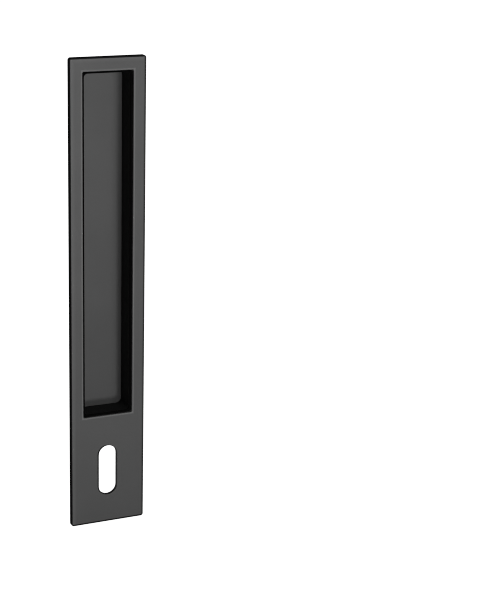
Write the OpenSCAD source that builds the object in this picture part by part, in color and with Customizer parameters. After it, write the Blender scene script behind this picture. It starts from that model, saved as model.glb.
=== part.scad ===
// Flush handle for a sliding door: a long flat plate with a deep finger pocket and a key slot.
// The plate lies on the door, and the moulded cup behind it fills a pocket cut in the door.
//
// Frame: X is across the plate, Y points into the door and Z is up.
// The origin is the middle of the plate's back face, which lies on the face of the door.

/* [Face plate] */
// Width of the plate
plate_w = 48.8; // [45:0.1:60]
// Height of the plate
plate_h = 300; // [270:1:360]
// Thickness of the plate
plate_t = 3.5; // [3:0.1:5]
// Radius of the plate's four corners
plate_corner = 1.6; // [1.2:0.1:3]
// Rounding along the front edges of the plate
plate_edge = 0.8; // [0.4:0.1:1.1]
// Width of the plate beside the pocket
side_margin = 8.2; // [7.6:0.1:10]
// Height of the plate above the pocket
top_margin = 8.6; // [8:0.1:16]
// Height of the flat end below the pocket
lower_end_h = 73; // [66:0.1:90]

/* [Finger pocket] */
// Depth of the pocket, from the front of the plate to the floor
pocket_depth = 15.5; // [13:0.5:22]
// Corner radius of the pocket's mouth
mouth_corner = 0.8; // [0.5:0.1:1.5]
// Rounding of the lip round the mouth
lip_edge = 0.6; // [0.3:0.1:0.9]

/* [Key slot] */
// Width of the slot
slot_w = 12; // [8:0.2:18]
// Height of the slot, round ends included
slot_h = 33.4; // [24:0.1:40]
// Height of the slot's centre above the bottom of the plate
slot_rise = 35.6; // [30:0.1:42]
// Rounding of the slot's front edge
slot_edge = 0.5; // [0.2:0.1:0.9]

/* [Pocket cup] */
// Thickness of the cup's side walls
cup_wall = 1.2; // [1:0.1:2]
// Distance of the cup's rim behind the front of the plate
rim_sink = 1.6; // [1:0.1:2.2]
// Thickness of the cup's floor
cup_floor = 2; // [1.6:0.1:3]
// Inner radius of the cup's corners
cup_inner_corner = 2.4; // [1.6:0.1:4]
// Outer radius of the cup's corners
cup_corner = 1.6; // [1.5:0.1:3]
// Rounding of the cup's back edges
cup_back_edge = 1.4; // [0.6:0.1:1.5]
// Thickness of the flange behind the plate
flange_t = 1.2; // [0.8:0.1:1.6]
// Reach of the flange beyond the pocket's mouth
flange_reach = 5.2; // [5:0.1:5.6]
// Corner radius of the flange
flange_corner = 3; // [1:0.5:5]
// Thickness of the ribs and gussets
rib_t = 1.2; // [0.8:0.1:1.6]
// Height of the ribs on the back of the floor
rib_h = 1.2; // [0.6:0.1:2]
// Depth of the gussets along the walls
gusset_depth = 10; // [6:0.5:12]
// Bare rim of the flange beyond a gusset
gusset_margin = 0.4; // [0.2:0.1:0.8]
// Width of the groove that runs round the floor, under the rim of the inlay
groove_w = 2; // [1:0.1:3]
// Depth of that groove
groove_depth = 0.6; // [0.3:0.1:0.9]

/* [Floor inlay] */
// Thickness of the inlay
inlay_t = 1; // [0.8:0.1:1.5]
// Corner radius of the inlay
inlay_corner = 4; // [2.5:0.1:8]
// Rounding of the inlay's front edge
inlay_edge = 0.2; // [0.1:0.1:0.5]

/* [Magnets] */
// Number of magnets that hold the inlay
magnet_count = 4; // [2:1:5]
// Radius of a magnet
magnet_r = 5; // [3:0.5:6]
// Thickness of a magnet
magnet_t = 1.5; // [1:0.1:2]
// Distance of the end magnets from the ends of the pocket
magnet_inset = 37; // [32:0.5:45]

/* [Fixing screws] */
// Distance between the screws across the pocket
fixing_across = 16; // [15:0.5:17]
// Distance of the screws from the ends of the pocket
fixing_inset = 19.2; // [12:0.1:22]
// Radius of a screw's shank
fixing_r = 2; // [1.5:0.1:2.2]
// Radius of a screw's head
fixing_head_r = 3.75; // [3.2:0.05:4]
// Length of a screw, head included
fixing_len = 12; // [8:1:30]
// Depth of a screw's thread, which is also how much slimmer its plain neck is
thread_depth = 0.25; // [0.2:0.05:0.4]
// Chamfer at the tip of a screw
screw_tip = 0.5; // [0.2:0.1:0.8]
// Height of the boss behind each screw
boss_h = 1.4; // [1:0.1:2]
// Wall of the bosses round the screws' heads and round the magnets
boss_wall = 1.2; // [0.8:0.1:1.6]

/* [Cup screws] */
// Number of screws along each side of the cup
side_screws = 4; // [2:1:6]
// Distance between the two screws at each end of the cup
end_screw_gap = 18; // [12:1:22]
// Radius of a screw's shank
cup_screw_r = 1; // [0.8:0.1:1.2]
// Radius of a screw's head
cup_screw_head_r = 1.8; // [1.5:0.1:1.8]
// Height of a screw's head
cup_screw_head_h = 1.2; // [0.8:0.1:1.6]
// Length of the thread that goes into the plate
cup_screw_grip = 1.6; // [1:0.1:1.6]

/* [Driver recesses] */
// Width of the cross recess as a share of the head's width
recess_share = 0.55; // [0.4:0.05:0.7]
// Depth of the recess as a share of the head's height
recess_depth_share = 0.6; // [0.4:0.05:0.8]
// Thickness of the recess's arms as a share of its width
recess_arm_share = 0.25; // [0.15:0.05:0.35]

/* [End pad] */
// Thickness of the adhesive pad behind the lower end
pad_t = 1.2; // [0.8:0.1:1.6]
// Width of the plate's rim that is left round the pad
pad_margin = 3; // [2.5:0.1:5]
// Width of the bare strip round the slot
pad_slot_margin = 2.5; // [1:0.1:4]
// Corner radius of the pad
pad_corner = 3; // [1:0.5:6]

/* [Clearances] */
// Gap round the inlay
inlay_gap = 0.15; // [0.1:0.05:0.5]
// Gap between the cup's walls and the pocket's mouth
mouth_gap = 0.1; // [0.05:0.05:0.3]
// Gap round the flange in its rebate
rebate_gap = 0.2; // [0.1:0.05:0.3]
// Distance of the flange's back behind the plate's back face
flange_sink = 0.1; // [0.05:0.05:0.2]
// Gap between a screw's shank and its hole in the cup
shank_gap = 0.25; // [0.1:0.05:0.3]
// Gap round each magnet
magnet_gap = 0.05; // [0.02:0.01:0.1]
// Depth of a fixing screw's head below the floor
head_sink = 0.2; // [0:0.1:0.5]

/* [Hidden] */
$fn = 72;
// Overshoot of a cut past the face that it opens
cut = 1;

pocket_w = plate_w - 2 * side_margin;
pocket_h = plate_h - top_margin - lower_end_h;
pocket_z = (lower_end_h - top_margin) / 2;
slot_z = slot_rise - plate_h / 2;

front_y = -plate_t;
flange_back_y = -flange_sink;
flange_front_y = flange_back_y - flange_t;
rim_y = front_y + rim_sink;
floor_y = front_y + pocket_depth;
seat_y = floor_y + inlay_t;
back_y = seat_y + cup_floor;
flange_w = pocket_w + 2 * flange_reach;
flange_h = pocket_h + 2 * flange_reach;

cup_w = pocket_w - 2 * mouth_gap;
cup_h = pocket_h - 2 * mouth_gap;
cup_inner_w = cup_w - 2 * cup_wall;
cup_inner_h = cup_h - 2 * cup_wall;
fixing_head_y = seat_y + head_sink;
fixing_along = pocket_h - 2 * fixing_inset;
neck_r = fixing_r - thread_depth;
boss_r = fixing_head_r + boss_wall;
magnet_boss_r = magnet_r + boss_wall;
magnet_pitch = (pocket_h - 2 * magnet_inset) / (magnet_count - 1);

side_pitch = pocket_h / side_screws;
screw_inset = (flange_reach - mouth_gap) / 2;
side_screw_x = pocket_w / 2 + screw_inset;
end_screw_z = pocket_h / 2 + screw_inset;

pad_top = pocket_z - flange_h / 2 - rebate_gap - pad_margin;
pad_bottom = pad_margin - plate_h / 2;
pad_w = plate_w - 2 * pad_margin;
pad_h = pad_top - pad_bottom;

// Places of the screws that hold the cup: both sides first, then both ends
cup_screw_spots = concat(
    [for (side = [-1, 1], i = [0 : side_screws - 1])
        [side * side_screw_x, pocket_z + (i - (side_screws - 1) / 2) * side_pitch]],
    [for (end = [-1, 1], side = [-1, 1])
        [side * end_screw_gap / 2, pocket_z + end * end_screw_z]]
);
// Places of the screws that hold the handle to the door
fixing_spots = [for (end = [1, -1], side = [-1, 1])
    [side * fixing_across / 2, pocket_z + end * fixing_along / 2]];
// Places of the magnets
magnet_spots = [for (i = [0 : magnet_count - 1])
    [0, pocket_z + (i - (magnet_count - 1) / 2) * magnet_pitch]];

function numbered(name, spots) = [for (i = [1 : len(spots)]) str(name, "_", i)];

// Puts its children at a place on the plate, with their own Z turned into the door
module at_spot(spot, y) {
    translate([spot[0], y, spot[1]])
        rotate([-90, 0, 0])
            children();
}

// A rectangle with round corners
module rounded_rect(w, h, r) {
    square([w - 2 * r, h], center = true);
    square([w, h - 2 * r], center = true);
    for (x = [-1, 1], y = [-1, 1])
        translate([x * (w / 2 - r), y * (h / 2 - r)])
            circle(r);
}

// Extrudes a flat shape, drawn across and up, from one depth to another
module between(y_from, y_to) {
    translate([0, y_to, 0])
        rotate([90, 0, 0])
            linear_extrude(y_to - y_from)
                children();
}

// Section of a slab whose front edges are rounded, with its front at 0
module soft_section(half, depth, r) {
    translate([-half, r])
        square([2 * half, depth - r]);
    translate([r - half, 0])
        square([2 * (half - r), depth]);
    for (side = [-1, 1])
        translate([side * (half - r), r])
            circle(r);
}

// Section of a cut whose front edges are rounded outwards, with the cut face at 0
module flared_section(half, depth, r) {
    translate([-half, -cut])
        square([2 * half, depth + cut]);
    difference() {
        translate([-half - r, -cut])
            square([2 * (half + r), r + cut]);
        for (side = [-1, 1])
            translate([side * (half + r), r])
                circle(r);
    }
}

module section(half, depth, r, flared) {
    if (flared)
        flared_section(half, depth, r);
    else
        soft_section(half, depth, r);
}

// A rectangular block with round corners whose front edge has its own rounding all the way round.
// A flared block is the cut for a mouth with a rounded lip.
module edged_block(w, h, corner, depth, r, flared = false) {
    reach = w + depth;
    linear_extrude(h - 2 * corner, center = true)
        section(w / 2, depth, r, flared);
    if (w > 2 * corner)
        rotate([0, -90, 0])
            linear_extrude(w - 2 * corner, center = true)
                section(h / 2, depth, r, flared);
    for (x = [-1, 1], z = [-1, 1])
        translate([x * (w / 2 - corner), 0, z * (h / 2 - corner)])
            rotate([-90, 0, 0])
                rotate_extrude()
                    intersection() {
                        section(corner, depth, r, flared);
                        translate([0, -reach])
                            square([reach, 2 * reach]);
                    }
}

// The flat outline of the key slot, grown by a margin
module slot_outline(margin) {
    end_r = slot_w / 2 + margin;
    square([2 * end_r, slot_h - slot_w], center = true);
    for (end = [-1, 1])
        translate([0, end * (slot_h - slot_w) / 2])
            circle(end_r);
}

// The visible plate, with the pocket's mouth, the key slot and the rebates behind
module face_plate() {
    color([0.14, 0.14, 0.14])
        difference() {
            translate([0, front_y, 0])
                edged_block(plate_w, plate_h, plate_corner, plate_t, plate_edge);
            translate([0, front_y, pocket_z])
                edged_block(pocket_w, pocket_h, mouth_corner, plate_t + cut, lip_edge, flared = true);
            translate([0, front_y, slot_z])
                edged_block(slot_w, slot_h, slot_w / 2, plate_t + cut, slot_edge, flared = true);
            translate([0, 0, pocket_z])
                between(flange_front_y, cut)
                    rounded_rect(flange_w + 2 * rebate_gap, flange_h + 2 * rebate_gap,
                        flange_corner + rebate_gap);
            translate([0, 0, (pad_top + pad_bottom) / 2])
                between(-pad_t, cut)
                    rounded_rect(pad_w, pad_h, pad_corner);
            for (spot = cup_screw_spots)
                at_spot(spot, flange_front_y - cup_screw_grip)
                    cylinder(r = cup_screw_r, h = cup_screw_grip + cut);
        }
}

// Triangular web between the flange and the wall of the cup, drawn at the wall and pointing to +X
module gusset() {
    reach = flange_reach + mouth_gap - gusset_margin;
    translate([0, 0, -rib_t / 2])
        linear_extrude(rib_t)
            polygon([[-cup_wall / 2, flange_back_y], [reach, flange_back_y], [0, gusset_depth],
                [-cup_wall / 2, gusset_depth]]);
}

module cup_gussets() {
    for (side = [0, 1], i = [0 : 2 * side_screws - 1])
        mirror([side, 0, 0])
            translate([cup_w / 2, 0, (i - side_screws + 0.5) * side_pitch / 2])
                gusset();
    for (end = [-1, 1])
        rotate([0, 90 * end, 0])
            translate([cup_h / 2, 0, 0])
                gusset();
}

// Ribs on the back of the floor: one from boss to boss down each side, one across at each pair of
// bosses and one across between each two magnets
module floor_ribs() {
    rows = concat([-fixing_along / 2, fixing_along / 2],
        [for (i = [1 : magnet_count - 1]) (i - magnet_count / 2) * magnet_pitch]);
    between(back_y - cup_floor / 2, back_y + rib_h) {
        for (side = [-1, 1])
            translate([side * fixing_across / 2, 0])
                square([rib_t, fixing_along], center = true);
        for (row = rows)
            translate([0, row])
                square([fixing_across, rib_t], center = true);
    }
}

// The moulded cup: walls that stand in the pocket's mouth, a flange behind the plate, and a floor with
// bosses for the screws and seats for the magnets
module pocket_cup() {
    color([0.07, 0.07, 0.07])
        difference() {
            union() {
                translate([0, 0, pocket_z]) {
                    between(flange_front_y, flange_back_y)
                        rounded_rect(flange_w, flange_h, flange_corner);
                    translate([0, back_y, 0])
                        mirror([0, 1, 0])
                            edged_block(cup_w, cup_h, cup_corner, back_y - rim_y, cup_back_edge);
                    cup_gussets();
                    floor_ribs();
                }
                for (spot = fixing_spots)
                    at_spot(spot, back_y - cup_floor / 2)
                        cylinder(r = boss_r, h = cup_floor / 2 + boss_h);
                for (spot = magnet_spots)
                    at_spot(spot, back_y - cup_floor / 2)
                        cylinder(r = magnet_boss_r, h = cup_floor / 2 + rib_h);
            }
            translate([0, 0, pocket_z]) {
                between(rim_y - cut, seat_y)
                    rounded_rect(cup_inner_w, cup_inner_h, cup_inner_corner);
                between(seat_y - cut, seat_y + groove_depth)
                    difference() {
                        rounded_rect(cup_inner_w, cup_inner_h, cup_inner_corner);
                        rounded_rect(cup_inner_w - 2 * groove_w, cup_inner_h - 2 * groove_w,
                            cup_inner_corner);
                    }
            }
            for (spot = magnet_spots)
                at_spot(spot, seat_y - cut)
                    cylinder(r = magnet_r + magnet_gap, h = magnet_t + cut);
            for (spot = fixing_spots)
                at_spot(spot, fixing_head_y)
                    fixing_hole();
            for (spot = cup_screw_spots)
                at_spot(spot, flange_front_y - cut)
                    cylinder(r = cup_screw_r + shank_gap, h = flange_t + 2 * cut);
        }
}

// Countersunk hole for a fixing screw, with the top of the screw's head at 0
module fixing_hole() {
    hole_r = fixing_r + shank_gap;
    translate([0, 0, -head_sink - cut])
        cylinder(r = fixing_head_r, h = head_sink + cut);
    cylinder(r1 = fixing_head_r, r2 = hole_r, h = fixing_head_r - hole_r);
    cylinder(r = hole_r, h = cup_floor + boss_h + cut);
}

// The thin coated plate that makes the floor of the pocket and hides the fixing screws
module floor_inlay() {
    color([0.14, 0.14, 0.14])
        translate([0, floor_y, pocket_z])
            edged_block(cup_inner_w - 2 * inlay_gap, cup_inner_h - 2 * inlay_gap, inlay_corner,
                inlay_t, inlay_edge);
}

// Adhesive pad in a rebate behind the lower end, with a hole round the key slot
module lower_end_pad() {
    color([0.25, 0.25, 0.25])
        between(-pad_t, 0)
            difference() {
                translate([0, (pad_top + pad_bottom) / 2])
                    rounded_rect(pad_w, pad_h, pad_corner);
                translate([0, slot_z])
                    slot_outline(pad_slot_margin);
            }
}

// Disc magnet in its seat in the cup's floor
module inlay_magnet(spot) {
    color([0.75, 0.75, 0.76])
        at_spot(spot, seat_y)
            cylinder(r = magnet_r, h = magnet_t);
}

// Cross-shaped recess for a driver, cut into a head whose top is at 0 and whose body points to +Z
module cross_recess(head_r, head_h) {
    across = 2 * head_r * recess_share;
    for (turn = [0, 90])
        rotate([0, 0, turn])
            cube([across, across * recess_arm_share, 2 * head_h * recess_depth_share], center = true);
}

// Countersunk machine screw through the floor of the cup, with its head's top at 0 and pointing to +Z.
// Its plain neck ends where it leaves the boss, and the thread is drawn as a cylinder.
module fixing_screw(spot) {
    cone_h = fixing_head_r - neck_r;
    neck_end = back_y + boss_h - fixing_head_y;
    color([0.62, 0.63, 0.65])
        at_spot(spot, fixing_head_y)
            difference() {
                union() {
                    cylinder(r1 = fixing_head_r, r2 = neck_r, h = cone_h);
                    cylinder(r = neck_r, h = neck_end);
                    translate([0, 0, neck_end])
                        cylinder(r = fixing_r, h = fixing_len - neck_end - screw_tip);
                    translate([0, 0, fixing_len - screw_tip])
                        cylinder(r1 = fixing_r, r2 = fixing_r - screw_tip, h = screw_tip);
                }
                cross_recess(fixing_head_r, cone_h);
            }
}

// Small cheese-head screw that holds the flange of the cup to the plate
module cup_screw(spot) {
    shank_len = cup_screw_grip + flange_t;
    color([0.62, 0.63, 0.65])
        at_spot(spot, flange_front_y - cup_screw_grip)
            difference() {
                union() {
                    cylinder(r = cup_screw_r, h = shank_len);
                    translate([0, 0, shank_len])
                        cylinder(r = cup_screw_head_r, h = cup_screw_head_h);
                }
                translate([0, 0, shank_len + cup_screw_head_h])
                    cross_recess(cup_screw_head_r, cup_screw_head_h);
            }
}

face_plate();
pocket_cup();
floor_inlay();
lower_end_pad();
for (i = [1 : len(fixing_spots)])
    fixing_screw(fixing_spots[i - 1]);
for (i = [1 : len(magnet_spots)])
    inlay_magnet(magnet_spots[i - 1]);
for (i = [1 : len(cup_screw_spots)])
    cup_screw(cup_screw_spots[i - 1]);
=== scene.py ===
"""Looks, light and camera for a black flush handle with a long finger pocket and a key slot.

The handle stands upright on a pale floor and is seen from the left and a little above.
X is across the plate, +Y points into the door and Z is up, in metres.
"""

from math import copysign, hypot, radians, tau

import bmesh
import bpy
from mathutils import Matrix, Vector


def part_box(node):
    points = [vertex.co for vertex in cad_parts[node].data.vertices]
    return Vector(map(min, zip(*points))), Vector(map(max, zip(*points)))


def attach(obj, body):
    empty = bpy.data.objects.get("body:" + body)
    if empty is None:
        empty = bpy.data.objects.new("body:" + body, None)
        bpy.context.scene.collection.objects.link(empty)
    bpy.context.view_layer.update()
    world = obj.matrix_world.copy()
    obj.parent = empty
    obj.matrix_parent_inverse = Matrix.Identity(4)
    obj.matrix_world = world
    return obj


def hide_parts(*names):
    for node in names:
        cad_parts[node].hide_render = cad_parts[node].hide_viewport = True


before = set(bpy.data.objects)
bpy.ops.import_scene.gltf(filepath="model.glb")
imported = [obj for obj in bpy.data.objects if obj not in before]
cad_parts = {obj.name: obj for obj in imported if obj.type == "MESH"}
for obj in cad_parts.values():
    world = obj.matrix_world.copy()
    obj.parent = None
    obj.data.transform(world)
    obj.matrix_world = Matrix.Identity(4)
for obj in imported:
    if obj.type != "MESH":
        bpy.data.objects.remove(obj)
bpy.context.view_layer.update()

MM = 0.001

# The plate, and the inlay that is the floor of its pocket
PLATE_LOW, PLATE_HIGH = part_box("face_plate")
INLAY_LOW, INLAY_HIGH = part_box("floor_inlay")

# How far out from the inlay's outline the middle of the cup's wall and the edge of the mouth lie
INLAY_TO_MID_WALL = 0.75 * MM
INLAY_TO_MOUTH = 1.45 * MM
# How far behind the inlay's face the back of the cup begins
INLAY_TO_BACK = 0.75 * MM
# How deep the painted shade that makes the cup's rim black reaches, and how long it takes to fade
RIM_SHADE_TO = -1.5 * MM
RIM_FADE = 0.2 * MM

# Where shade is painted dark on the plate's edges: the plate's corners moved to the outline that the
# painted shade follows, and the distances from it at which it starts and is full
EDGE_SHADE_LOW = PLATE_LOW + Vector((-0.15, 0, 0.6)) * MM
EDGE_SHADE_HIGH = PLATE_HIGH + Vector((0.3, 0, -0.25)) * MM
EDGE_SHADE_FROM = -1.0 * MM
EDGE_SHADE_FULL = -0.35 * MM

# The softer painted shade along the right edge: where it starts, where it is full, and its share of full
# darkness
RIGHT_DARK_FROM = PLATE_HIGH.x - 1.9 * MM
RIGHT_DARK_FULL = PLATE_HIGH.x - 1.0 * MM
RIGHT_DARK_SHARE = 0.7

# The painted shade round the key slot: its middle, a little left of and above the slot's, half the length
# of its straight sides, half its width, and how far out it fades
SLOT_DARK_X = -0.8 * MM
SLOT_DARK_Z = -114.0 * MM
SLOT_HALF_STRAIGHT = 10.7 * MM
SLOT_HALF_WIDTH = 6 * MM
SLOT_DARK_FADE = 0.5 * MM

# Where a pale highlight is painted on the coat along edges, given in the same way. The outline passes
# below the plate and to the right of it, so that only the left and the top edge get it.
HIGHLIGHT_LOW = PLATE_LOW + Vector((0, 0, -4)) * MM
HIGHLIGHT_HIGH = PLATE_HIGH + Vector((4, 0, 0)) * MM
HIGHLIGHT_FROM = -3.8 * MM
HIGHLIGHT_FULL = -1.2 * MM
HIGHLIGHT_SHARE = 0.3
# The painted highlight on the lip of the mouth: how far out from the mouth's edge it is full, and where
# it ends
LIP_HIGHLIGHT_FULL = 0.6 * MM
LIP_HIGHLIGHT_END = 1.5 * MM

# Brightness and gloss of the powder coat on the plate and on the inlay; the inlay's coat is darker as
# painted shade in the pocket
PLATE_LEVEL = 0.041
PLATE_GLOSS = 0.36
INLAY_SHADED_LEVEL = 0.0315
INLAY_GLOSS = 0.325

# Thread of the fixing screws: radius, pitch and depth, half the width of its ridge as a share of the
# pitch, how deep the ridge is rooted in the core, and where it starts below the face of the head
THREAD_R = 2.0 * MM
THREAD_PITCH = 0.7 * MM
THREAD_DEPTH = 0.25 * MM
THREAD_HALF_SHARE = 0.42
THREAD_ROOT = 0.1 * MM
THREAD_START = 3.2 * MM
# Head and tip of the fixing screws: the broken edge of the face, the straight rim above the cone, the
# fillet from the cone to the neck and the chamfer at the tip
FACE_EDGE_IN = 0.1 * MM
FACE_EDGE_DOWN = 0.08 * MM
HEAD_RIM = 0.15 * MM
FILLET_ON_CONE = 0.15 * MM
FILLET_ON_NECK = 0.1 * MM
TIP_CHAMFER = 0.5 * MM

# Cup screws: radius of the shank, height of the head and radius of the soft edges
CUP_SCREW_R = 1.0 * MM
CUP_SCREW_HEAD_H = 1.2 * MM
CUP_SCREW_EDGE = 0.3 * MM
# Points of the head's soft edge, in from its side and down from its top, as shares of the edge's radius
SOFT_EDGE = ((1, 0), (0.4, 0.12), (0.1, 0.45), (0, 1))

# Driver recess: reach as a share of the head's radius, half width of an arm as a share of the reach,
# depth as a share of the head's height, and width of the floor as a share of the mouth's
RECESS_SHARE = 0.55
RECESS_ARM_SHARE = 0.28
RECESS_DEPTH_SHARE = 0.6
RECESS_TAPER = 0.7

MAGNET_CHAMFER = 0.2 * MM
PAD_EDGE = 0.35 * MM

# Steps round a full turn, the angle up to which faces are shaded as one surface, and the one up to which
# they are joined into one face
ROUND_STEPS = 48
SMOOTH_UP_TO = radians(35)
FLAT_UP_TO = radians(1)
# The greatest distances between points that count as level, and between points that count as one
LEVEL_WITHIN = 0.1 * MM
SAME_WITHIN = 0.001 * MM

# Nearly all values of a noise lie between these two
NOISE_LOW = 0.3
NOISE_HIGH = 0.7

# The floor: half its size, its grey for the light, and the glow that makes it white for the camera
FLOOR_HALF_SIZE = 6
FLOOR_GREY = 0.6
FLOOR_GLOW = 0.97

# Light that the studio's walls give: even, and a glow from behind and below
EVEN_LIGHT = 0.025
BACK_GLOW = 1.3
BACK_GLOW_FROM = (0.1, 0.95, -0.3)
# What a mirror sees: dark walls, and a white one behind, to the right and below. It reaches this far past
# the middle in X, Y and Z, and its border is this soft.
DARK_WALLS = 0.04
WHITE_WALL_REACH = (0.15, 0.0, 0.1)
WHITE_WALL_BORDER = 0.25

# Lamps, all aimed at the middle of the plate: name, place, width and power in watts
LAMPS = (
    ("main_light", (0.9, -4.0, -1.3), 0.8, 33.6),
    ("front_light", (0.0, -3.0, 0.0), 0.4, 24.6),
    ("right_light", (0.4, -0.95, 0.0), 0.3, 1.1),
    ("upper_light", (0.1, -1.1, 0.25), 0.3, 2.2),
    ("back_light", (1.4, 2.6, -0.9), 1.8, 50),
)

# The camera, fitted to the edges of the handle in the photograph: its place, its turns and its lens in mm
CAMERA_PLACE = (-0.3454, -0.9316, 0.2991)
CAMERA_HEADING = radians(-25.18)
CAMERA_TILT = radians(73.24)
CAMERA_ROLL = radians(1.45)
CAMERA_LENS = 100.23
CAMERA_SENSOR = 36
# Width of the filter that smooths the picture, in pixels
PICTURE_FILTER = 1.0


# Materials


class Nodes:
    """A node tree in the making."""

    def __init__(self, tree):
        self.nodes = tree.nodes
        self.links = tree.links

    def put(self, socket, value):
        """Links a socket to an output, or gives it a plain value."""
        if isinstance(value, bpy.types.NodeSocket):
            self.links.new(value, socket)
        else:
            socket.default_value = value

    def math(self, operation, *values):
        node = self.nodes.new("ShaderNodeMath")
        node.operation = operation
        for socket, value in zip(node.inputs, values):
            self.put(socket, value)
        return node.outputs[0]

    def along(self, place, axis):
        """How far a place lies along X, Y or Z."""
        node = self.nodes.new("ShaderNodeSeparateXYZ")
        self.put(node.inputs[0], place)
        return node.outputs[axis]

    def facing(self, way, towards):
        """How much a way points towards another: 1 along it, 0 across it and -1 against it."""
        node = self.nodes.new("ShaderNodeVectorMath")
        node.operation = "DOT_PRODUCT"
        self.put(node.inputs[0], way)
        self.put(node.inputs[1], towards)
        return node.outputs["Value"]


class Finish(Nodes):
    """A material in the making. Its patterns are given by their place on the piece, in metres."""

    def __init__(self, name):
        self.material = bpy.data.materials.new(name)
        self.material.use_nodes = True
        super().__init__(self.material.node_tree)
        self.shader = self.nodes["Principled BSDF"]
        self.place = self.nodes.new("ShaderNodeTexCoord").outputs["Object"]

    def even(self, **sockets):
        """Sets what is the same all over the surface. A socket's name is given with _ for a space."""
        for name, value in sockets.items():
            self.shader.inputs[name.replace("_", " ")].default_value = value

    def colour(self, value):
        self.put(self.shader.inputs["Base Color"], value)

    def roughness(self, value):
        self.put(self.shader.inputs["Roughness"], value)

    def relief(self, height, depth, strength):
        """Adds bumps that are depth metres high."""
        node = self.nodes.new("ShaderNodeBump")
        node.inputs["Strength"].default_value = strength
        node.inputs["Distance"].default_value = depth
        self.put(node.inputs["Height"], height)
        self.put(self.shader.inputs["Normal"], node.outputs["Normal"])

    def stretched(self, scale):
        """The place on the piece, with each axis multiplied."""
        node = self.nodes.new("ShaderNodeMapping")
        node.inputs["Scale"].default_value = scale
        self.put(node.inputs["Vector"], self.place)
        return node.outputs[0]

    def noise(self, per_metre, detail, place=None):
        node = self.nodes.new("ShaderNodeTexNoise")
        node.inputs["Scale"].default_value = per_metre
        node.inputs["Detail"].default_value = detail
        self.put(node.inputs["Vector"], place or self.place)
        return node.outputs["Fac"]

    def cells(self, per_metre):
        node = self.nodes.new("ShaderNodeTexVoronoi")
        node.inputs["Scale"].default_value = per_metre
        self.put(node.inputs["Vector"], self.place)
        return node.outputs["Distance"]

    def span(self, value, low_in, high_in, low_out, high_out, smooth=False):
        """Takes one range of values to another."""
        node = self.nodes.new("ShaderNodeMapRange")
        if smooth:
            node.interpolation_type = "SMOOTHSTEP"
        node.inputs["From Min"].default_value = low_in
        node.inputs["From Max"].default_value = high_in
        node.inputs["To Min"].default_value = low_out
        node.inputs["To Max"].default_value = high_out
        self.put(node.inputs["Value"], value)
        return node.outputs["Result"]

    def varied(self, noise, low, high):
        """A number that goes from low to high with a noise."""
        return self.span(noise, NOISE_LOW, NOISE_HIGH, low, high)

    def blend(self, amount, first, second):
        """Mixes two colours."""
        node = self.nodes.new("ShaderNodeMix")
        node.data_type = "RGBA"
        self.put(node.inputs["Factor"], amount)
        self.put(node.inputs["A"], first)
        self.put(node.inputs["B"], second)
        return node.outputs["Result"]

    def away_from(self, axis, middle):
        """How far a spot lies to either side of a middle along an axis."""
        return self.math("ABSOLUTE", self.math("SUBTRACT", self.along(self.place, axis), middle))


def grey(level, tint=0.0):
    """A neutral colour, or one a little towards blue."""
    return (level * (1 - tint), level, level * (1 + tint), 1)


def beyond_outline(finish, low, high):
    """How far a spot lies outside a box's outline, seen from the front; less than 0 is inside."""
    middle = (low + high) / 2
    half = (high - low) / 2
    beside = finish.math("SUBTRACT", finish.away_from("X", middle.x), half.x)
    above = finish.math("SUBTRACT", finish.away_from("Z", middle.z), half.z)
    return finish.math("MAXIMUM", beside, above)


def beyond_slot(finish):
    """How far a spot lies outside the round-ended key slot, moved to where the painted shade round it
    lies.
    """
    across = finish.away_from("X", SLOT_DARK_X)
    up = finish.away_from("Z", SLOT_DARK_Z)
    past_straight = finish.math("MAXIMUM", finish.math("SUBTRACT", up, SLOT_HALF_STRAIGHT), 0)
    squares = finish.math("ADD", finish.math("POWER", across, 2), finish.math("POWER", past_straight, 2))
    return finish.math("SUBTRACT", finish.math("SQRT", squares), SLOT_HALF_WIDTH)


def painted_edge_highlights(coat):
    """Painted highlight just inside the roundings: at the left, at the top and round the mouth."""
    outline = beyond_outline(coat, HIGHLIGHT_LOW, HIGHLIGHT_HIGH)
    outer = coat.span(outline, HIGHLIGHT_FROM, HIGHLIGHT_FULL, 0, HIGHLIGHT_SHARE, smooth=True)
    from_mouth = coat.math("SUBTRACT", beyond_outline(coat, INLAY_LOW, INLAY_HIGH), INLAY_TO_MOUTH)
    lip = coat.span(from_mouth, LIP_HIGHLIGHT_FULL, LIP_HIGHLIGHT_END, 1, 0, smooth=True)
    return coat.math("MAXIMUM", outer, lip)


def painted_edge_shade(coat):
    """Painted shade, dull and dark, on the outer roundings, softer at the right and broader below, and
    round the slot.
    """
    outline = beyond_outline(coat, EDGE_SHADE_LOW, EDGE_SHADE_HIGH)
    outer = coat.span(outline, EDGE_SHADE_FROM, EDGE_SHADE_FULL, 0, 1, smooth=True)
    across = coat.along(coat.place, "X")
    right = coat.span(across, RIGHT_DARK_FROM, RIGHT_DARK_FULL, 0, RIGHT_DARK_SHARE, smooth=True)
    slot = coat.span(beyond_slot(coat), 0, SLOT_DARK_FADE, 1, 0, smooth=True)
    return coat.math("MAXIMUM", coat.math("MAXIMUM", outer, right), slot)


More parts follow.
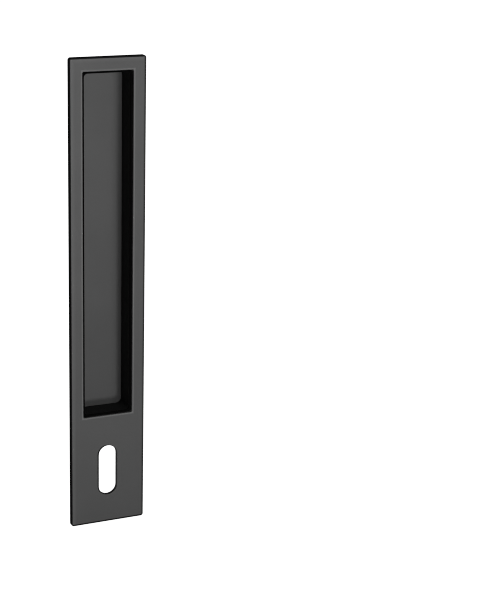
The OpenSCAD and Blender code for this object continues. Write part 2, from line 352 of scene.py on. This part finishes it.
def coated_finish(name, level, gloss, edges_show=False):
    """Fine matt black powder coat, with a soft grain and faint clouds.

    Where its edges show, a pale highlight is painted along some of them and shade is painted dark along
    others.
    """
    coat = Finish(name)
    clouds = coat.noise(per_metre=28, detail=2.0)
    grain = coat.noise(per_metre=2600, detail=2.0)
    tone = coat.blend(clouds, grey(level * 0.97), grey(level * 1.03))
    speck = grey(level * 0.8)
    tone = coat.blend(coat.varied(grain, 0, 0.24), tone, speck)
    sheen = coat.varied(clouds, 0.43, 0.47)
    if edges_show:
        # Painted highlight and painted shade on the edges; where the shade is painted the coat is also
        # made fully rough
        pale = grey(level * 2.4)
        dark = grey(level * 0.04)
        edge_shade = painted_edge_shade(coat)
        tone = coat.blend(painted_edge_highlights(coat), tone, pale)
        tone = coat.blend(edge_shade, tone, dark)
        sheen = coat.math("MAXIMUM", sheen, edge_shade)
    coat.colour(tone)
    coat.roughness(sheen)
    coat.even(Specular_IOR_Level=gloss)
    coat.relief(grain, depth=0.03 * MM, strength=0.6)
    return coat.material


def nylon_finish():
    """Moulded black nylon with faint flow streaks: darker in the pocket as painted shade, greyer at the
    back, and its rim painted black as shade.
    """
    nylon = Finish("moulded_black_nylon")
    texture = nylon.cells(per_metre=1900)
    along_cup = nylon.stretched((1.0, 1.0, 0.18))
    streaks = nylon.noise(per_metre=60, detail=2.0, place=along_cup)
    # Inside the pocket the nylon is given a darker grey than at the back: painted shade
    walls = nylon.blend(streaks, grey(0.032), grey(0.042))
    back = nylon.blend(streaks, grey(0.05), grey(0.066))
    depth = nylon.along(nylon.place, "Y")
    from_inlay = beyond_outline(nylon, INLAY_LOW, INLAY_HIGH)
    outside = nylon.math("GREATER_THAN", from_inlay, INLAY_TO_MID_WALL)
    behind = nylon.math("GREATER_THAN", depth, INLAY_LOW.y + INLAY_TO_BACK)
    tone = nylon.blend(nylon.math("MAXIMUM", outside, behind), walls, back)
    # The cup's rim is painted black as shade, and made fully rough
    rim = nylon.span(depth, RIM_SHADE_TO, RIM_SHADE_TO + RIM_FADE, 1, 0)
    rim_shade_colour = grey(0.002)
    nylon.colour(nylon.blend(rim, tone, rim_shade_colour))
    nylon.roughness(nylon.math("MAXIMUM", nylon.varied(streaks, 0.5, 0.6), rim))
    nylon.even(Specular_IOR_Level=0.03)
    nylon.relief(texture, depth=0.02 * MM, strength=0.4)
    return nylon.material


def zinc_finish():
    """Zinc-plated steel, a little clouded by the plating."""
    zinc = Finish("zinc_plated_steel")
    clouds = zinc.noise(per_metre=700, detail=3.0)
    grain = zinc.noise(per_metre=4000, detail=1.0)
    zinc.colour(zinc.blend(clouds, grey(0.5, tint=0.02), grey(0.68, tint=0.03)))
    zinc.roughness(zinc.varied(clouds, 0.24, 0.38))
    zinc.even(Metallic=1.0)
    zinc.relief(grain, depth=0.004 * MM, strength=0.3)
    return zinc.material


def nickel_finish():
    """Nickel plating of the magnets, a little yellow."""
    nickel = Finish("nickel_plating")
    clouds = nickel.noise(per_metre=900, detail=2.0)
    dull = (0.66, 0.64, 0.6, 1)
    bright = (0.74, 0.72, 0.68, 1)
    nickel.colour(nickel.blend(clouds, dull, bright))
    nickel.roughness(nickel.varied(clouds, 0.14, 0.22))
    nickel.even(Metallic=1.0)
    return nickel.material


def foam_finish():
    """Closed-cell foam of the adhesive pad, darkest in the middle of its cells."""
    foam = Finish("adhesive_foam")
    cells = foam.cells(per_metre=2600)
    mottle = foam.noise(per_metre=350, detail=3.0)
    tone = foam.blend(mottle, grey(0.03, tint=0.02), grey(0.055, tint=0.02))
    middles = foam.span(cells, 0, 0.5, 0.5, 0)
    pit = grey(0.015)
    foam.colour(foam.blend(middles, tone, pit))
    foam.roughness(foam.varied(mottle, 0.8, 0.92))
    foam.even(Specular_IOR_Level=0.15)
    foam.relief(cells, depth=0.05 * MM, strength=0.5)
    return foam.material


# Pieces


def dress(node, material):
    """Gives a CAD node its material."""
    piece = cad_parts[node]
    piece.data.materials.clear()
    piece.data.materials.append(material)


def new_piece(name, mesh, material, replaced):
    """Makes a finished mesh a smooth-shaded piece that stands for a CAD node."""
    bmesh.ops.recalc_face_normals(mesh, faces=mesh.faces)
    data = bpy.data.meshes.new(name)
    mesh.to_mesh(data)
    mesh.free()
    data.materials.append(material)
    data.shade_smooth()
    data.set_sharp_from_angle(angle=SMOOTH_UP_TO)
    piece = bpy.data.objects.new(name, data)
    bpy.context.scene.collection.objects.link(piece)
    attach(piece, "root")
    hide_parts(replaced)
    return piece


def place_along_y(mesh, place, way):
    """Turns a form that was made along Z to run along Y, in the way 1 or -1, and puts it in place."""
    turn = Matrix.Rotation(-way * tau / 4, 4, "X")
    bmesh.ops.transform(mesh, matrix=Matrix.Translation(place) @ turn, verts=mesh.verts)


def soften(mesh, edges, size, segments):
    """Bevels edges."""
    bmesh.ops.bevel(
        mesh,
        geom=edges,
        offset=size,
        affect="EDGES",
        segments=segments,
        profile=0.5,
        material=-1,
    )


def made_verts(made):
    """The vertices among what an operator made."""
    return [item for item in made["geom"] if isinstance(item, bmesh.types.BMVert)]


def open_edges(mesh):
    return [edge for edge in mesh.edges if edge.is_boundary]


def next_ring(mesh, edges, radius, z):
    """Extrudes a round loop of edges to a new radius and height, and returns the new loop."""
    ring = made_verts(bmesh.ops.extrude_edge_only(mesh, edges=edges))
    for vert in ring:
        reach = hypot(vert.co.x, vert.co.y)
        vert.co = (vert.co.x * radius / reach, vert.co.y * radius / reach, z)
    return [edge for edge in open_edges(mesh) if edge.verts[0] in ring]


def cross_recess(mesh, head_r, depth):
    """A cross-shaped pit whose mouth lies at height 0, and returns the edges of the mouth.

    It starts as a grid of three by three squares that loses its corners. Its lines are then moved: the
    two inner ones to the sides of the arms, the two outer ones to their ends.
    """
    bmesh.ops.create_grid(mesh, x_segments=3, y_segments=3, size=1)
    between_lines = 0.5
    reach = head_r * RECESS_SHARE
    arm = reach * RECESS_ARM_SHARE
    corners = [
        face
        for face in mesh.faces
        if min(abs(v) for v in face.calc_center_median()[:2]) > between_lines
    ]
    bmesh.ops.delete(mesh, geom=corners, context="FACES")
    for vert in mesh.verts:
        for axis in (0, 1):
            outer = abs(vert.co[axis]) > between_lines
            vert.co[axis] = copysign(reach if outer else arm, vert.co[axis])
    lid = mesh.faces[:]
    floor = made_verts(bmesh.ops.extrude_face_region(mesh, geom=lid))
    bmesh.ops.delete(mesh, geom=lid, context="FACES")
    bmesh.ops.scale(mesh, verts=floor, vec=(RECESS_TAPER, RECESS_TAPER, 1))
    bmesh.ops.translate(mesh, verts=floor, vec=(0, 0, depth))
    mouth = open_edges(mesh)
    bmesh.ops.subdivide_edges(mesh, edges=mouth, cuts=ROUND_STEPS // len(mouth) - 1)
    return open_edges(mesh)


def screw_form(head_r, head_h, profile):
    """A screw that points up from the face of its head at height 0, with its driver recess.

    profile gives the radius and the height of each ring, from the face to the tip.
    """
    mesh = bmesh.new()
    mouth = cross_recess(mesh, head_r, head_h * RECESS_DEPTH_SHARE)
    first_r, first_z = profile[0]
    circle = bmesh.ops.create_circle(mesh, cap_ends=False, segments=ROUND_STEPS, radius=first_r)["verts"]
    bmesh.ops.translate(mesh, verts=circle, vec=(0, 0, first_z))
    loop = [edge for edge in mesh.edges if edge.verts[0] in circle]
    bmesh.ops.bridge_loops(mesh, edges=mouth + loop)
    for radius, z in profile[1:]:
        loop = next_ring(mesh, loop, radius, z)
    bmesh.ops.contextual_create(mesh, geom=loop)
    return mesh


def add_thread(mesh, low, high):
    """A helical ridge round the core of a fixing screw, which runs out at both ends."""
    core = THREAD_R - THREAD_DEPTH
    root = core - THREAD_ROOT
    half = THREAD_PITCH * THREAD_HALF_SHARE
    turns = (high - low) / THREAD_PITCH - 1
    steps = int(turns * ROUND_STEPS / 2)
    before = set(mesh.verts)
    section = ((root, -half), (THREAD_R, 0), (root, half))
    corners = [mesh.verts.new((x, 0, low + THREAD_PITCH / 2 + z)) for x, z in section]
    bmesh.ops.spin(
        mesh,
        geom=[mesh.faces.new(corners)],
        angle=turns * tau,
        steps=steps,
        axis=(0, 0, 1),
        cent=(0, 0, 0),
        dvec=(0, 0, turns * THREAD_PITCH / steps),
        use_merge=False,
    )
    for vert in mesh.verts:
        reach = hypot(vert.co.x, vert.co.y)
        if vert not in before and reach > core:
            from_end = min(vert.co.z - low, high - vert.co.z) - THREAD_PITCH / 2
            grown = min(1, max(0, 2 * from_end / THREAD_PITCH))
            wanted = core + THREAD_DEPTH * grown
            vert.co.x *= wanted / reach
            vert.co.y *= wanted / reach


def fixing_screw(node, material):
    """Countersunk machine screw, from the face of its head to its chamfered tip."""
    low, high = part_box(node)
    middle = (low + high) / 2
    length = high.y - low.y
    head_r = (high.x - low.x) / 2
    neck_r = THREAD_R - THREAD_DEPTH
    head_h = HEAD_RIM + head_r - neck_r
    profile = (
        (head_r - FACE_EDGE_IN, 0),
        (head_r, FACE_EDGE_DOWN),
        (head_r, HEAD_RIM),
        (neck_r + FILLET_ON_CONE, head_h - FILLET_ON_CONE),
        (neck_r, head_h + FILLET_ON_NECK),
        (neck_r, length - TIP_CHAMFER),
        (neck_r - TIP_CHAMFER, length),
    )
    mesh = screw_form(head_r, head_h, profile)
    add_thread(mesh, THREAD_START, length - TIP_CHAMFER / 2)
    place_along_y(mesh, (middle.x, low.y, middle.z), 1)
    new_piece(node + "_threaded", mesh, material, node)


def cup_screw(node, material):
    """Cheese-head screw, from the top of its head on the cup's flange to its end in the plate."""
    low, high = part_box(node)
    middle = (low + high) / 2
    length = high.y - low.y
    head_r = (high.x - low.x) / 2
    soft_edge = [(head_r - CUP_SCREW_EDGE * inward, CUP_SCREW_EDGE * down) for inward, down in SOFT_EDGE]
    profile = (
        *soft_edge,
        (head_r, CUP_SCREW_HEAD_H),
        (CUP_SCREW_R, CUP_SCREW_HEAD_H),
        (CUP_SCREW_R, length - CUP_SCREW_EDGE),
        (CUP_SCREW_R - CUP_SCREW_EDGE, length),
    )
    mesh = screw_form(head_r, CUP_SCREW_HEAD_H, profile)
    place_along_y(mesh, (middle.x, high.y, middle.z), -1)
    new_piece(node + "_turned", mesh, material, node)


def inlay_magnet(node, material):
    """Disc magnet with chamfered edges."""
    low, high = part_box(node)
    middle = (low + high) / 2
    mesh = bmesh.new()
    bmesh.ops.create_circle(mesh, cap_ends=True, segments=ROUND_STEPS, radius=(high.x - low.x) / 2)
    top = made_verts(bmesh.ops.extrude_face_region(mesh, geom=mesh.faces[:]))
    bmesh.ops.translate(mesh, verts=top, vec=(0, 0, high.y - low.y))
    rims = [edge for edge in mesh.edges if abs(edge.verts[0].co.z - edge.verts[1].co.z) < LEVEL_WITHIN]
    soften(mesh, rims, MAGNET_CHAMFER, segments=2)
    place_along_y(mesh, (middle.x, low.y, middle.z), 1)
    new_piece(node + "_plated", mesh, material, node)


def lower_end_pad(node, material):
    """The adhesive foam behind the lower end, cut from the CAD outline, with pressed soft edges."""
    mesh = bmesh.new()
    mesh.from_mesh(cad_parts[node].data)
    bmesh.ops.remove_doubles(mesh, verts=mesh.verts, dist=SAME_WITHIN)
    bmesh.ops.dissolve_limit(mesh, angle_limit=FLAT_UP_TO, verts=mesh.verts, edges=mesh.edges)
    back_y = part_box(node)[1].y
    back = [edge for edge in mesh.edges if all(back_y - v.co.y < LEVEL_WITHIN for v in edge.verts)]
    soften(mesh, back, PAD_EDGE, segments=3)
    pad = new_piece("foam_pad", mesh, material, node)


def dress_handle():
    """Gives plate, inlay and cup their finishes, and puts finer pieces over the other nodes."""
    plate_coat = coated_finish("powder_coat_on_plate", PLATE_LEVEL, PLATE_GLOSS, edges_show=True)
    # The inlay's coat is the plate's, made darker as painted shade in the pocket
    inlay_coat = coated_finish("powder_coat_on_inlay", INLAY_SHADED_LEVEL, INLAY_GLOSS)
    dress("face_plate", plate_coat)
    dress("floor_inlay", inlay_coat)
    dress("pocket_cup", nylon_finish())
    lower_end_pad("lower_end_pad", foam_finish())
    zinc = zinc_finish()
    nickel = nickel_finish()
    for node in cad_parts:
        if node.startswith("fixing_screw"):
            fixing_screw(node, zinc)
        if node.startswith("cup_screw"):
            cup_screw(node, zinc)
        if node.startswith("inlay_magnet"):
            inlay_magnet(node, nickel)


# Studio


def floor_finish():
    """White for the camera and grey for the light, so that the floor keeps a soft shadow."""
    floor = Finish("studio_floor")
    from_camera = floor.nodes.new("ShaderNodeLightPath").outputs["Is Camera Ray"]
    floor.colour(grey(FLOOR_GREY))
    floor.roughness(0.9)
    floor.even(Specular_IOR_Level=0.0, Emission_Color=(1, 1, 1, 1))
    glow = floor.span(from_camera, 0, 1, 0, FLOOR_GLOW)
    floor.put(floor.shader.inputs["Emission Strength"], glow)
    return floor.material


def studio_floor():
    mesh = bmesh.new()
    bmesh.ops.create_grid(mesh, x_segments=1, y_segments=1, size=FLOOR_HALF_SIZE)
    bmesh.ops.translate(mesh, verts=mesh.verts, vec=(0, 0, PLATE_LOW.z))
    data = bpy.data.meshes.new("studio_floor")
    mesh.to_mesh(data)
    mesh.free()
    data.materials.append(floor_finish())
    floor = bpy.data.objects.new("studio_floor", data)
    floor.visible_shadow = False
    bpy.context.scene.collection.objects.link(floor)


def softbox(name, place, size, watts):
    """A round soft light that is aimed at the middle of the plate and that the camera doesn't see."""
    light = bpy.data.lights.new(name, "AREA")
    light.shape = "DISK"
    light.size = size
    light.energy = watts
    lamp = bpy.data.objects.new(name, light)
    lamp.location = place
    aim = Vector((0, 0, 0)) - Vector(place)
    lamp.rotation_euler = aim.to_track_quat("-Z", "Y").to_euler()
    lamp.visible_camera = False
    bpy.context.scene.collection.objects.link(lamp)


def studio_world():
    """White for the camera and through glass, mostly dark in mirrors, and a glow from behind as light."""
    world = bpy.data.worlds.new("studio_world")
    world.use_nodes = True
    bpy.context.scene.world = world
    walls = Nodes(world.node_tree)
    paths = walls.nodes.new("ShaderNodeLightPath").outputs
    way = walls.nodes.new("ShaderNodeTexCoord").outputs["Generated"]

    from_behind = walls.math("MAXIMUM", walls.facing(way, BACK_GLOW_FROM), 0)
    light = walls.math("ADD", walls.math("MULTIPLY", from_behind, BACK_GLOW), EVEN_LIGHT)
    light = walls.math("MULTIPLY", light, paths["Is Diffuse Ray"])

    right = walls.math("ADD", walls.along(way, "X"), WHITE_WALL_REACH[0])
    behind = walls.math("ADD", walls.along(way, "Y"), WHITE_WALL_REACH[1])
    below = walls.math("SUBTRACT", WHITE_WALL_REACH[2], walls.along(way, "Z"))
    inside = walls.math("MINIMUM", walls.math("MINIMUM", right, behind), below)
    white_wall = walls.math("MINIMUM", walls.math("DIVIDE", inside, WHITE_WALL_BORDER), 1)
    mirrored = walls.math("MAXIMUM", white_wall, DARK_WALLS)
    mirrored = walls.math("MULTIPLY", mirrored, paths["Is Glossy Ray"])

    seen = walls.math("MAXIMUM", paths["Is Camera Ray"], paths["Is Transmission Ray"])
    level = walls.math("MAXIMUM", walls.math("MAXIMUM", light, mirrored), seen)
    background = walls.nodes["Background"]
    walls.put(background.inputs["Color"], (1, 1, 1, 1))
    walls.put(background.inputs["Strength"], level)


def photo_camera():
    camera = bpy.data.cameras.new("photo_camera")
    camera.sensor_width = CAMERA_SENSOR
    camera.lens = CAMERA_LENS
    holder = bpy.data.objects.new("photo_camera", camera)
    turn = Matrix.Rotation(CAMERA_HEADING, 4, "Z")
    tilt = Matrix.Rotation(CAMERA_TILT, 4, "X")
    roll = Matrix.Rotation(CAMERA_ROLL, 4, "Z")
    holder.matrix_world = Matrix.Translation(CAMERA_PLACE) @ turn @ tilt @ roll
    bpy.context.scene.collection.objects.link(holder)
    bpy.context.scene.camera = holder


dress_handle()
studio_floor()
studio_world()
for lamp in LAMPS:
    softbox(*lamp)
photo_camera()
bpy.context.scene.view_settings.view_transform = "Standard"
bpy.context.scene.cycles.filter_width = PICTURE_FILTER
